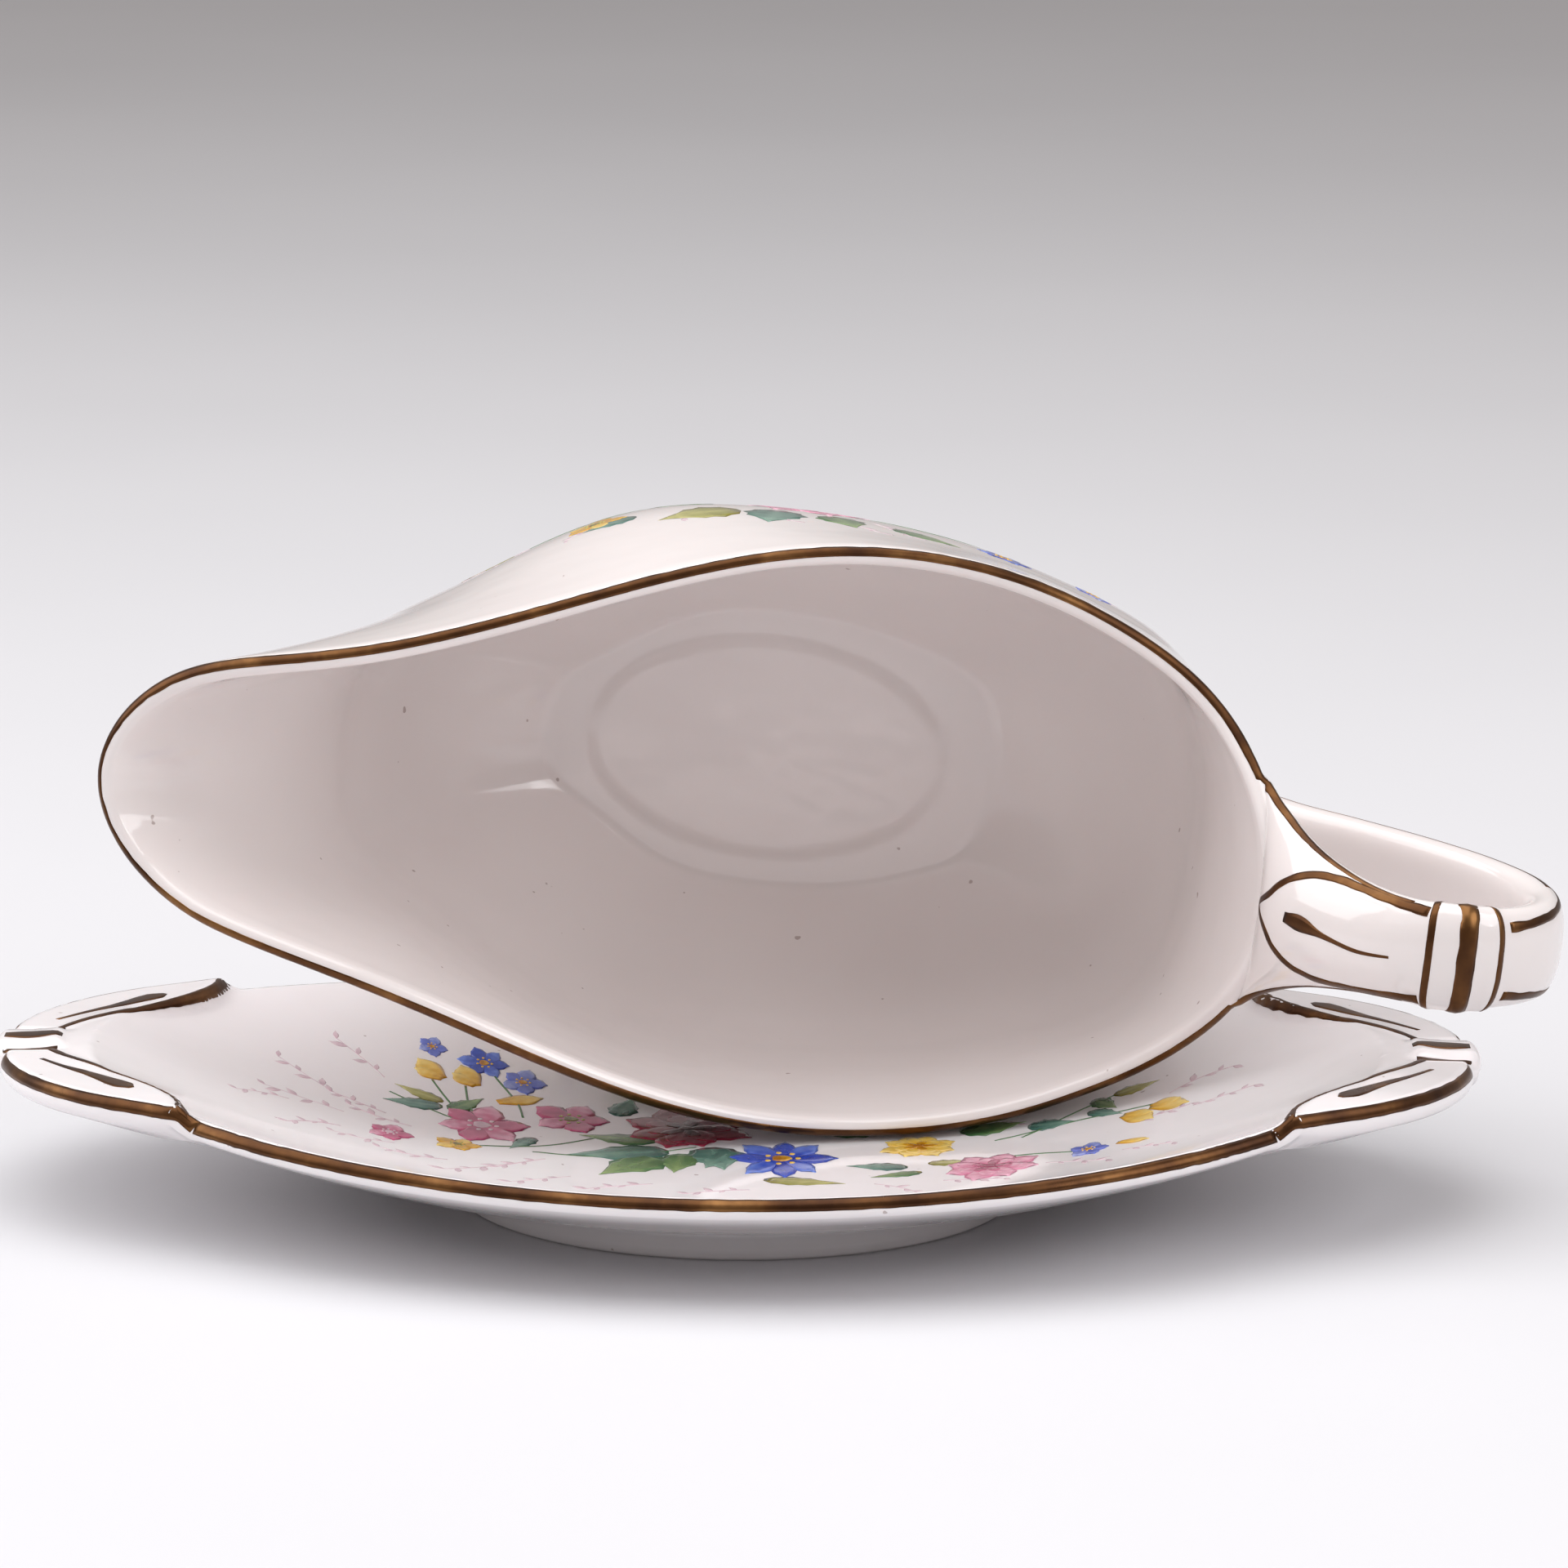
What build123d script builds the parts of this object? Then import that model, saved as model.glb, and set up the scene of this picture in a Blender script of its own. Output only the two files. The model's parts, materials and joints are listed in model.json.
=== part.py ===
"""A glazed sauce boat lying on its side on its oval stand.

Millimetres, +Z up.  The origin is the centre of the stand's foot ring, on the surface it stands on.
X runs along the stand from lug to lug, and the mouth of the boat faces -Y.
"""
from build123d import *
from math import cos, exp, hypot, pi, radians, sin
import os

os.makedirs("parts", exist_ok=True)

# ---------------------------------------------------------------- driving dimensions: the stand
STAND_HALF_LENGTH = 96.0        # the oval dish, without its lugs
STAND_HALF_WIDTH = 70.0
STAND_RIM_LOW = 16.2            # rim height at the middle of the long sides
STAND_RIM_RISE = 6.0            # how much higher the rim is at the two ends
STAND_WELL_TOP = 4.8            # upper face of the flat well
STAND_WALL = 2.8
STAND_WELL_RADIUS = 24.0        # the flat middle, before the dish begins to rise
WELL_OVERLAP = 2.0
DISH_STEP = 15                  # degrees between the sections that the dish is lofted through
LIP_THICK = 3.3
LIP_SLOPE = 0.5                 # how steeply the dish still climbs at its rim
FOOT_RING_RADIUS = 41.5
FOOT_RING_WIDTH = 4.0
FOOT_RING_HEIGHT = 2.6
LUG_THICK = 4.6
LUG_TOP = 22.6
LUG_OVERLAP = 1.5               # how far the lugs run in under the rounded lip of the dish
LUG_EDGE = [(76, 43), (91, 33.5), (103, 20), (108, 0)]   # one quarter of the lug outline

# ---------------------------------------------------------------- driving dimensions: the boat
BOAT_TURN = 6.0                 # how far the handle end dips
BOAT_TIP = 91.0                 # tipped from upright onto its side
BOAT_ORIGIN = (5.0, 80.0, 52.6)  # centre of the boat's foot in the resting pose
WALL = 3.0
FOOT_HEIGHT = 7.0
FOOT_BOTTOM = (37.5, 24.5)      # half axes of the oval foot
FOOT_TOP = (33.0, 20.5)
FOOT_WALL = 4.0
BELLY_HEIGHT = 40.0
SPOUT_HEIGHT = 80.0
BASE_SCALE = 0.5                # the underside of the bowl against its belly
BELLY_ROUND = 0.85              # below 1 the bowl fills out sooner above its foot
LEAN_EASE = 0.3                 # how gradually the wall starts to lean out above the belly
FLOOR_THICK = 3.5
HULL_SECTIONS = (7, 10, 15, 24, 32, 40, 48, 56, 64, 72, 80, 90)
HOLLOW_SECTIONS = (10.5, 14, 19, 28, 36, 44, 52, 60, 68, 76, 84, 94)
# Half outlines from spout to back: (distance towards the handle, half width).
BELLY = [(-68, 0), (-64, 16), (-52, 25.2), (-28, 39.2), (-2, 43), (24, 40.8), (45, 34.9), (59, 26.9), (66, 0)]
MOUTH = [(-102, 0), (-92.4, 13.8), (-63, 24), (-26, 37.2), (12, 45), (38, 42.7), (58, 33.5), (71, 19.3),
         (74.5, 0)]
# The edge of the mouth seen from the side: (distance towards the handle, height above the foot).
RIM = [(-105, 76.5), (-92, 80.5), (-80, 85.3), (-64, 88), (-40, 85.9), (-20, 81.5), (0, 75.8), (20, 70.8),
       (40, 68.5), (54, 67.9), (64, 70), (71, 75.5), (78, 86)]
ABOVE_RIM = [(120, 86), (120, 130), (-140, 130), (-140, 76.5)]
RIM_REACH = 60.0                # half the width cut away above the edge of the mouth
HANDLE_WIDTH = 16.5
HANDLE_THICK = 6.0
HANDLE_ROUND = 2.4
HANDLE_LOOP = [(73.5, 77), (75.5, 86.5), (80, 92.8), (86.5, 97.9), (94, 101.3), (103, 99.7), (110, 93.1),
               (112.4, 83.6), (108, 69.6), (97, 56.9), (86, 48.6), (75, 42.4), (62, 36.5)]
KNOT_AT = (98.5, 101)          # middle of the moulded knot on top of the loop
KNOT_SIZE = (10.0, 18.0, 7.6)

turn = radians(BOAT_TURN)
tip = radians(BOAT_TIP)
along = Vector(cos(turn), 0, -sin(turn))
upright = Vector(cos(tip) * sin(turn), -sin(tip), cos(tip) * cos(turn))
across = upright.cross(along)
boat_plane = Plane(origin=BOAT_ORIGIN, x_dir=along, z_dir=upright)
side_plane = Plane(origin=BOAT_ORIGIN, x_dir=along, z_dir=-across)


def eased(t):
    """A climb that starts level and soon becomes steady."""
    return t - LEAN_EASE * (1 - exp(-t / LEAN_EASE))


def bowl_half_outline(height):
    """Half of the bowl's outer outline at a height above the foot."""
    if height <= BELLY_HEIGHT:
        rise = (height - FOOT_HEIGHT) / (BELLY_HEIGHT - FOOT_HEIGHT)
        swell = BASE_SCALE + (1 - BASE_SCALE) * sin(pi / 2 * max(rise, 0) ** BELLY_ROUND)
        return [(x * swell, w * swell) for x, w in BELLY]
    lean = eased((height - BELLY_HEIGHT) / (SPOUT_HEIGHT - BELLY_HEIGHT)) / eased(1)
    return [(a[0] + (b[0] - a[0]) * lean, a[1] + (b[1] - a[1]) * lean) for a, b in zip(BELLY, MOUTH)]


def inset(points, amount):
    """The same half outline moved inwards by an amount, square to itself."""
    moved = [(points[0][0] + amount, 0)]
    for before, here, after in zip(points, points[1:], points[2:]):
        dx, dw = after[0] - before[0], after[1] - before[1]
        size = hypot(dx, dw)
        moved.append((here[0] + amount * dw / size, here[1] - amount * dx / size))
    moved.append((points[-1][0] - amount, 0))
    return moved


def closed_outline(points):
    """A half outline and its mirror image, square to the middle line at the spout and the back."""
    for half, turning in ((1, (0, 1)), (-1, (0, -1))):
        Spline(*[(x, half * w) for x, w in points],
               tangents=[turning, (0, -turning[1])], tangent_scalars=[1, 1])


# ---------------------------------------------------------------- bowl of the boat
with BuildPart() as bowl_hull:
    for height in HULL_SECTIONS:
        with BuildSketch(boat_plane.offset(height)):
            with BuildLine():
                closed_outline(bowl_half_outline(height))
            make_face()
    loft()

with BuildPart() as bowl_hollow:
    for height in HOLLOW_SECTIONS:
        with BuildSketch(boat_plane.offset(height)):
            with BuildLine():
                if height < BELLY_HEIGHT:
                    closed_outline(inset(bowl_half_outline(height - FLOOR_THICK), 0.5 * WALL))
                else:
                    closed_outline(inset(bowl_half_outline(height), WALL))
            make_face()
    loft()

with BuildPart() as above_rim:
    with BuildSketch(side_plane):
        with BuildLine():
            rim_line = Spline(*RIM)
            Polyline(rim_line @ 1, *ABOVE_RIM, rim_line @ 0)
        make_face()
    extrude(amount=RIM_REACH, both=True)

with BuildPart() as bowl_block:
    add(bowl_hull.part)
    add(above_rim.part, mode=Mode.SUBTRACT)

with BuildPart() as boat_bowl:
    add(bowl_block.part)
    add(bowl_hollow.part, mode=Mode.SUBTRACT)
boat_bowl.part.label = "boat_bowl"

# ---------------------------------------------------------------- foot of the boat
with BuildPart() as boat_foot:
    with BuildSketch(boat_plane):
        Ellipse(*FOOT_BOTTOM)
    with BuildSketch(boat_plane.offset(FOOT_HEIGHT)):
        Ellipse(*FOOT_TOP)
    loft()
    with BuildSketch(boat_plane):
        Ellipse(FOOT_BOTTOM[0] - FOOT_WALL, FOOT_BOTTOM[1] - FOOT_WALL)
    with BuildSketch(boat_plane.offset(FOOT_HEIGHT)):
        Ellipse(FOOT_TOP[0] - FOOT_WALL, FOOT_TOP[1] - FOOT_WALL)
    loft(mode=Mode.SUBTRACT)
boat_foot.part.label = "boat_foot"

# ---------------------------------------------------------------- handle of the boat
with BuildPart() as boat_handle:
    with BuildLine(side_plane) as loop:
        Spline(*HANDLE_LOOP)
    with BuildSketch(Plane(origin=loop.line @ 0, x_dir=across, z_dir=loop.line % 0)):
        RectangleRounded(HANDLE_WIDTH, HANDLE_THICK, HANDLE_ROUND)
    sweep()
    knot_plane = Plane(side_plane.from_local_coords(Vector(*KNOT_AT)), x_dir=along, z_dir=upright)
    with Locations(knot_plane):
        Box(*KNOT_SIZE)
    add(bowl_block.part, mode=Mode.SUBTRACT)
boat_handle.part.label = "boat_handle"

# ---------------------------------------------------------------- dish of the stand


def rim_radius(angle):
    """Distance from the middle to the oval rim in a direction."""
    a, b = STAND_HALF_LENGTH, STAND_HALF_WIDTH
    return a * b / hypot(b * cos(angle), a * sin(angle))


def rim_height(x):
    """Height of the top of the rim, higher towards the two ends."""
    return STAND_RIM_LOW + STAND_RIM_RISE * (x / STAND_HALF_LENGTH) ** 2


with BuildPart() as stand_dish:
    for degrees in range(-90, 91, DISH_STEP):
        angle = radians(degrees)
        out = rim_radius(angle)
        top = rim_height(out * cos(angle))
        low = STAND_WELL_TOP - STAND_WALL
        with BuildSketch(Plane(origin=(0, 0, 0), x_dir=(cos(angle), sin(angle), 0),
                               z_dir=(sin(angle), -cos(angle), 0))):
            with BuildLine():
                upper = Spline((STAND_WELL_RADIUS, STAND_WELL_TOP), (out - 0.5 * LIP_THICK, top),
                               tangents=[(1, 0), (1, LIP_SLOPE)])
                lip = Spline(upper @ 1, (out, top - 0.4 * LIP_THICK), (out - 0.55 * LIP_THICK, top - LIP_THICK),
                             tangents=[(1, LIP_SLOPE), (-1, -LIP_SLOPE)])
                lower = Spline(lip @ 1, (STAND_WELL_RADIUS, low), tangents=[(-1, -LIP_SLOPE), (-1, 0)])
                Line(lower @ 1, upper @ 0)
            make_face()
    loft()
    mirror(about=Plane.YZ)
    with BuildSketch(Plane.XY.offset(STAND_WELL_TOP - STAND_WALL)):
        Circle(STAND_WELL_RADIUS + WELL_OVERLAP)
    extrude(amount=STAND_WALL)
stand_dish.part.label = "stand_dish"

# ---------------------------------------------------------------- foot ring of the stand
with BuildPart() as stand_foot_ring:
    with BuildSketch():
        Circle(FOOT_RING_RADIUS)
        Circle(FOOT_RING_RADIUS - FOOT_RING_WIDTH, mode=Mode.SUBTRACT)
    extrude(amount=FOOT_RING_HEIGHT + 0.5 * STAND_WALL)
    add(stand_dish.part, mode=Mode.SUBTRACT)
stand_foot_ring.part.label = "stand_foot_ring"

# ---------------------------------------------------------------- lugs of the stand
for name, side in (("stand_lug_left", -1), ("stand_lug_right", 1)):
    near = [(side * x, -y) for x, y in LUG_EDGE]
    far = [(side * x, y) for x, y in reversed(LUG_EDGE[:-1])]
    with BuildPart() as lug:
        with BuildSketch(Plane.XY.offset(LUG_TOP - LUG_THICK)):
            with BuildLine():
                edge = Spline(*near, *far)
                Line(edge @ 1, edge @ 0)
            make_face()
            Ellipse(STAND_HALF_LENGTH - LUG_OVERLAP, STAND_HALF_WIDTH - LUG_OVERLAP, mode=Mode.SUBTRACT)
        extrude(amount=LUG_THICK)
        add(stand_dish.part, mode=Mode.SUBTRACT)
    lug.part.label = name
    export_step(lug.part, f"parts/{name}.step")

for piece in (boat_bowl, boat_foot, boat_handle, stand_dish, stand_foot_ring):
    export_step(piece.part, f"parts/{piece.part.label}.step")
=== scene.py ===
"""The looks of the gravy boat and its stand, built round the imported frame. Lengths inside are in mm."""
import json
from math import cos, exp, hypot, pi, radians, sin

import bmesh
import bpy
import numpy as np
from mathutils import Matrix, Vector, noise
from mathutils.bvhtree import BVHTree


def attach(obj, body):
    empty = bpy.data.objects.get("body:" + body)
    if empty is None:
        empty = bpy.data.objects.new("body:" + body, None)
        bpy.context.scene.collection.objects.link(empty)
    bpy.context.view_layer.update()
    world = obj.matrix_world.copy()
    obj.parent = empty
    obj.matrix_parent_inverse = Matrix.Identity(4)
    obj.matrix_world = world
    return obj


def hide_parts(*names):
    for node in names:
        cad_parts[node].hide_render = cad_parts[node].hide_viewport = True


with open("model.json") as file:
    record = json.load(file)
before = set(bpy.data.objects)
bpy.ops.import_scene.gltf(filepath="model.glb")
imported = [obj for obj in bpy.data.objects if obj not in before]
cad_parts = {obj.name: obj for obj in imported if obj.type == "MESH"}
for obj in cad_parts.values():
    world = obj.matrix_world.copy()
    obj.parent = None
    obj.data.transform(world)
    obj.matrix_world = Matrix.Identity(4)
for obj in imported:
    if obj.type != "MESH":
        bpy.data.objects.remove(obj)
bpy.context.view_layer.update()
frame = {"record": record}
MM = 0.001

# ---- the boat's own frame
BOAT_TURN = radians(6.0)        # how far the handle end dips
mounts = {m["name"]: m for m in frame["record"]["mounts"]}
boat_origin = np.array(mounts["boat_foot_base"]["pos_m"]) / MM
upright = -np.array(mounts["boat_foot_base"]["axis"])
upright /= np.linalg.norm(upright)
along = np.array([cos(BOAT_TURN), 0.0, -sin(BOAT_TURN)])
across = np.cross(upright, along)


def from_boat(points):
    """Points in the boat's frame (towards the handle, across, up from the foot) to the row's frame."""
    p = np.asarray(points, float)
    return boat_origin + p[..., :1] * along + p[..., 1:2] * across + p[..., 2:3] * upright


# ---- small geometry tools
def ring_spline(points, per_span):
    """A smooth closed curve through points, with per_span samples between each two of them."""
    p = np.asarray(points, float)
    n = len(p)
    step = np.linalg.norm(np.roll(p, -1, 0) - p, axis=1) ** 0.75
    a = np.zeros((n, n))
    b = np.zeros((n, p.shape[1]))
    for i in range(n):
        before, after = step[i - 1], step[i]
        a[i, i - 1], a[i, i], a[i, (i + 1) % n] = before, 2 * (before + after), after
        b[i] = 6 * ((p[(i + 1) % n] - p[i]) / after - (p[i] - p[i - 1]) / before)
    bend = np.linalg.solve(a, b)
    out = []
    for i in range(n):
        j, size = (i + 1) % n, step[i]
        for k in range(per_span):
            t = size * k / per_span
            s = size - t
            out.append((bend[i] * s ** 3 + bend[j] * t ** 3) / (6 * size)
                       + (p[i] / size - bend[i] * size / 6) * s + (p[j] / size - bend[j] * size / 6) * t)
    return np.array(out)


def open_spline(points, samples):
    """A smooth open curve through points, evenly sampled along its length."""
    p = [np.asarray(q, float) for q in points]
    path = [2 * p[0] - p[1]] + p + [2 * p[-1] - p[-2]]
    fine = []
    for i in range(1, len(path) - 2):
        a, b, c, d = path[i - 1:i + 3]
        ta, tb, tc = (np.linalg.norm(v) ** 0.5 + 1e-9 for v in (b - a, c - b, d - c))
        m1 = (c - b) + tb * ((b - a) / ta - (c - a) / (ta + tb))
        m2 = (c - b) + tb * ((d - c) / tc - (d - b) / (tb + tc))
        for t in np.linspace(0, 1, 24, endpoint=False):
            fine.append((2 * t ** 3 - 3 * t * t + 1) * b + (t ** 3 - 2 * t * t + t) * m1
                        + (3 * t * t - 2 * t ** 3) * c + (t ** 3 - t * t) * m2)
    fine = np.array(fine + [p[-1]])
    run = np.concatenate([[0], np.cumsum(np.linalg.norm(np.diff(fine, axis=0), axis=1))])
    at = np.linspace(0, run[-1], samples)
    return np.stack([np.interp(at, run, fine[:, k]) for k in range(fine.shape[1])], 1)


def smooth_step(x, low, high):
    """A soft climb from 0 at low to 1 at high."""
    t = np.clip((np.asarray(x, float) - low) / (high - low), 0, 1)
    return t * t * (3 - 2 * t)


def scene_object(name, data):
    obj = bpy.data.objects.new(name, data)
    bpy.context.scene.collection.objects.link(obj)
    return obj


def mesh_object(name, vertices, faces, material, colours=None):
    """A smooth-shaded mesh from points in mm."""
    mesh = bpy.data.meshes.new(name)
    mesh.from_pydata([tuple(v) for v in np.asarray(vertices) * MM], [], faces)
    mesh.validate()
    for polygon in mesh.polygons:
        polygon.use_smooth = True
    if colours is not None:
        layer = mesh.color_attributes.new("print_colour", "FLOAT_COLOR", "POINT")
        layer.data.foreach_set("color", np.asarray(colours, np.float32).ravel())
    mesh.materials.append(material)
    mesh.update()
    return scene_object(name, mesh)


def grid_faces(rows, columns, base=0, ring=True):
    """Faces of a grid of points, each row closed into a ring or left open."""
    faces = []
    for r in range(rows - 1):
        low, high = base + r * columns, base + (r + 1) * columns
        for c in range(columns if ring else columns - 1):
            d = (c + 1) % columns
            faces.append((low + c, low + d, high + d, high + c))
    return faces


def skin(name, grid, material):
    """A closed skin over rings of points, with its first and last rings drawn together at a point."""
    rows, columns, _ = grid.shape
    vertices = np.concatenate([grid.reshape(-1, 3), [grid[0].mean(0)], [grid[-1].mean(0)]])
    faces = grid_faces(rows, columns)
    first, last = rows * columns, rows * columns + 1
    faces += [(first, (c + 1) % columns, c) for c in range(columns)]
    top = (rows - 1) * columns
    faces += [(last, top + c, top + (c + 1) % columns) for c in range(columns)]
    return mesh_object(name, vertices, faces, material)


def loop_of_rings(name, grid, material):
    """A closed band whose cross-section is itself a ring: a foot ring or a hoop."""
    rows, columns, _ = grid.shape
    faces = [tuple(i % (rows * columns) for i in f) for f in grid_faces(rows + 1, columns)]
    return mesh_object(name, grid.reshape(-1, 3), faces, material)


def outward(obj):
    """Turn every face of a closed piece outwards."""
    work = bmesh.new()
    work.from_mesh(obj.data)
    bmesh.ops.recalc_face_normals(work, faces=work.faces)
    work.to_mesh(obj.data)
    work.free()
    return obj


class Surface:
    """The skins of some pieces, for laying gold and print on them."""

    def __init__(self, *pieces):
        points, faces = [], []
        for piece in pieces:
            base = len(points)
            points += [Vector(v.co) / MM for v in piece.data.vertices]
            faces += [tuple(base + i for i in p.vertices) for p in piece.data.polygons]
        self.tree = BVHTree.FromPolygons(points, faces)

    def snap(self, point):
        """The nearest point of the skin and the way it faces."""
        place, normal, _, _ = self.tree.find_nearest(Vector(point))
        return np.array(place), np.array(normal)


PLATE_SINK = 0.12               # how far the underside of a plate lies below the skin
EDGE_LIFT = 0.45                # the share of a plate's lift that its edges get
STROKE_STEP = 0.8               # how far apart the rows of a stroke lie
ROUGH_STEP = 0.35               # how fast the raggedness of a stroke changes along it
ACROSS = (-1, -0.5, 0, 0.5, 1)  # the points across a stroke


class Paint:
    """Brush strokes and printed patches that lie on a surface, gathered into one piece."""

    def __init__(self, surface):
        self.surface = surface
        self.vertices, self.faces, self.colours = [], [], []

    def plate(self, points, columns, lift, colours=None):
        """A thin closed plate over a grid of points laid on the surface."""
        rows = len(points) // columns
        base = len(self.vertices)
        top, low = [], []
        for i, p in enumerate(points):
            place, normal = self.surface.snap(p)
            r, c = divmod(i, columns)
            edge = r in (0, rows - 1) or c in (0, columns - 1)
            top.append(place + normal * (lift * (EDGE_LIFT if edge else 1.0)))
            low.append(place - normal * PLATE_SINK)
        self.vertices += top + low
        n = rows * columns
        self.faces += grid_faces(rows, columns, base, ring=False)
        self.faces += [tuple(reversed(f)) for f in grid_faces(rows, columns, base + n, ring=False)]
        rim = (list(range(columns)) + [r * columns + columns - 1 for r in range(1, rows)]
               + [(rows - 1) * columns + c for c in range(columns - 2, -1, -1)]
               + [r * columns for r in range(rows - 2, 0, -1)])
        for a, b in zip(rim, rim[1:] + rim[:1]):
            self.faces.append((base + b, base + a, base + n + a, base + n + b))
        shades = [(1, 1, 1, 1)] * n if colours is None else list(colours)
        self.colours += shades + shades

    def stroke(self, path, width, lift=0.07, colour=None, ragged=0.0, seed=0.0):
        """A brush stroke along a path. width is a number or a function of the way along, 0 to 1."""
        path = np.asarray(path, float)
        length = np.linalg.norm(np.diff(path, axis=0), axis=1).sum()
        count = max(6, int(length / STROKE_STEP))
        line = open_spline(path, count)
        tangents = np.gradient(line, axis=0)
        points = []
        for i, p in enumerate(line):
            place, normal = self.surface.snap(p)
            side = np.cross(normal, tangents[i])
            side /= np.linalg.norm(side) + 1e-12
            t = i / (count - 1)
            half = 0.5 * (width(t) if callable(width) else width)
            left, right = (half * (1 + ragged * noise.noise(Vector((seed + shift, i * ROUGH_STEP, 0.0))))
                           for shift in (0.0, 7.3))
            points += [place + side * (s * (left if s < 0 else right)) for s in ACROSS]
        shade = None if colour is None else [colour] * len(points)
        self.plate(points, 5, lift, shade)

    def object(self, name, material):
        return outward(mesh_object(name, self.vertices, self.faces, material, self.colours))


# ---- materials
def nodes_of(name):
    """A new material, its node tree and its shader."""
    material = bpy.data.materials.new(name)
    material.use_nodes = True
    tree = material.node_tree
    shader = next(n for n in tree.nodes if n.type == "BSDF_PRINCIPLED")
    return material, tree, shader


def dial(node, settings):
    """Set inputs of a node, each to a value or to another node's output."""
    for name, value in settings.items():
        if isinstance(value, bpy.types.NodeSocket):
            node.id_data.links.new(value, node.inputs[name])
        else:
            node.inputs[name].default_value = value


def noise_node(tree, scale, detail=3.0, rough=0.5):
    place = tree.nodes.new("ShaderNodeTexCoord")
    node = tree.nodes.new("ShaderNodeTexNoise")
    dial(node, {"Vector": place.outputs["Object"], "Scale": scale, "Detail": detail, "Roughness": rough})
    return node.outputs["Fac"]


def ramp_node(tree, source, stops):
    node = tree.nodes.new("ShaderNodeValToRGB")
    while len(node.color_ramp.elements) < len(stops):
        node.color_ramp.elements.new(0.5)
    for element, (at, colour) in zip(node.color_ramp.elements, stops):
        element.position = at
        element.color = (*colour, 1)
    dial(node, {"Fac": source})
    return node.outputs["Color"]


def bump_node(tree, height, strength, distance, below=None):
    node = tree.nodes.new("ShaderNodeBump")
    dial(node, {"Height": height, "Strength": strength, "Distance": distance})
    if below is not None:
        dial(node, {"Normal": below})
    return node.outputs["Normal"]


def multiply_node(tree, a, b, factor):
    """One colour times another. The node's colour inputs are numbers 6 and 7, its colour output number 2."""
    node = tree.nodes.new("ShaderNodeMix")
    node.data_type, node.blend_type = "RGBA", "MULTIPLY"
    dial(node, {"Factor": factor, 6: a, 7: b})
    return node.outputs[2]


def china_material(name, body, shade):
    """Glazed white china: a pooled tint, a few kiln specks and a faintly wavy gloss glaze."""
    material, tree, shader = nodes_of(name)
    body_colour = ramp_node(tree, noise_node(tree, 22.0, 2.0), [(0.35, body), (0.7, shade)])
    specks = noise_node(tree, 520.0, 1.0)
    spots = ramp_node(tree, specks, [(0.79, (1, 1, 1)), (0.81, (0.6, 0.54, 0.52))])
    waves = bump_node(tree, noise_node(tree, 55.0, 2.0), 0.35, 0.0006)
    peel = bump_node(tree, noise_node(tree, 380.0, 2.0), 0.12, 0.00005, waves)
    dial(shader, {"Base Color": multiply_node(tree, body_colour, spots, 1.0), "Normal": peel,
                  "Roughness": 0.09, "IOR": 1.52, "Coat Weight": 0.35, "Coat Roughness": 0.03,
                  "Subsurface Weight": 0.12, "Subsurface Radius": (1.0, 0.75, 0.65),
                  "Subsurface Scale": 0.0025})
    return material


def gilding_material():
    """Brush-painted brown gold, thicker and darker in places and rubbed on its high spots."""
    material, tree, shader = nodes_of("brown_gold")
    thick, middle, rubbed = (0.050, 0.018, 0.006), (0.105, 0.042, 0.012), (0.26, 0.125, 0.040)
    load = noise_node(tree, 95.0, 4.0, 0.6)
    streaks = noise_node(tree, 260.0, 3.0)
    gloss = tree.nodes.new("ShaderNodeMapRange")
    dial(gloss, {"Value": streaks, "To Min": 0.2, "To Max": 0.42})
    dial(shader, {"Base Color": ramp_node(tree, load, [(0.34, thick), (0.54, middle), (0.78, rubbed)]),
                  "Metallic": 0.8, "Roughness": gloss.outputs["Result"],
                  "Normal": bump_node(tree, streaks, 0.3, 0.00006)})
    return material


def print_material():
    """Floral print under the glaze: each petal's own colour, broken by a fine wash."""
    material, tree, shader = nodes_of("flower_print")
    petal = tree.nodes.new("ShaderNodeAttribute")
    petal.attribute_name = "print_colour"
    wash = noise_node(tree, 420.0, 4.0, 0.65)
    shade = ramp_node(tree, wash, [(0.3, (0.72, 0.72, 0.74)), (0.62, (1.0, 1.0, 1.0))])
    dial(shader, {"Base Color": multiply_node(tree, petal.outputs["Color"], shade, 0.8),
                  "Roughness": 0.12, "Coat Weight": 0.3,
                  "Normal": bump_node(tree, noise_node(tree, 55.0, 2.0), 0.3, 0.0006)})
    return material


boat_china = china_material("boat_china", (0.82, 0.765, 0.75), (0.785, 0.725, 0.71))
stand_china = china_material("stand_china", (0.90, 0.865, 0.87), (0.88, 0.84, 0.85))
gold = gilding_material()
printed = print_material()

# ---- bowl of the boat
FOOT_HEIGHT = 7.0
BELLY_HEIGHT = 40.0
SPOUT_HEIGHT = 80.0
BASE_SCALE = 0.5
BELLY_ROUND = 0.85
LEAN_EASE = 0.3
LIP_RADIUS = 1.45               # half the thickness of the wall
SOFT_TURN = 9.0                 # how far above and below the turn's heights are averaged
TURN_STARTS, TURN_ENDS = (12.0, 30.0), (60.0, 72.0)
FLOOR_THICK = 3.4
FLOOR_OVAL = (28.5, 17.5)       # half axes of the raised inner floor
FLOOR_RISE = 0.55
BOWL_ROWS, ROW_EASE = 46, 1.45  # the rows lie closer together near the foot
LIP_STEPS, FLOOR_ROWS = 8, 30
SETTLE_ROUNDS = 60
# Half outlines from spout to back: (distance towards the handle, half width).
BELLY = [(-68, 0), (-64, 16), (-52, 25.2), (-28, 39.2), (-2, 43), (24, 40.8), (45, 34.9), (59, 26.9), (66, 0)]
MOUTH = [(-102, 0), (-92.4, 13.8), (-63, 24), (-26, 37.2), (12, 45), (38, 42.7), (58, 33.5), (71, 19.3),
         (74.5, 0)]
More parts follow.
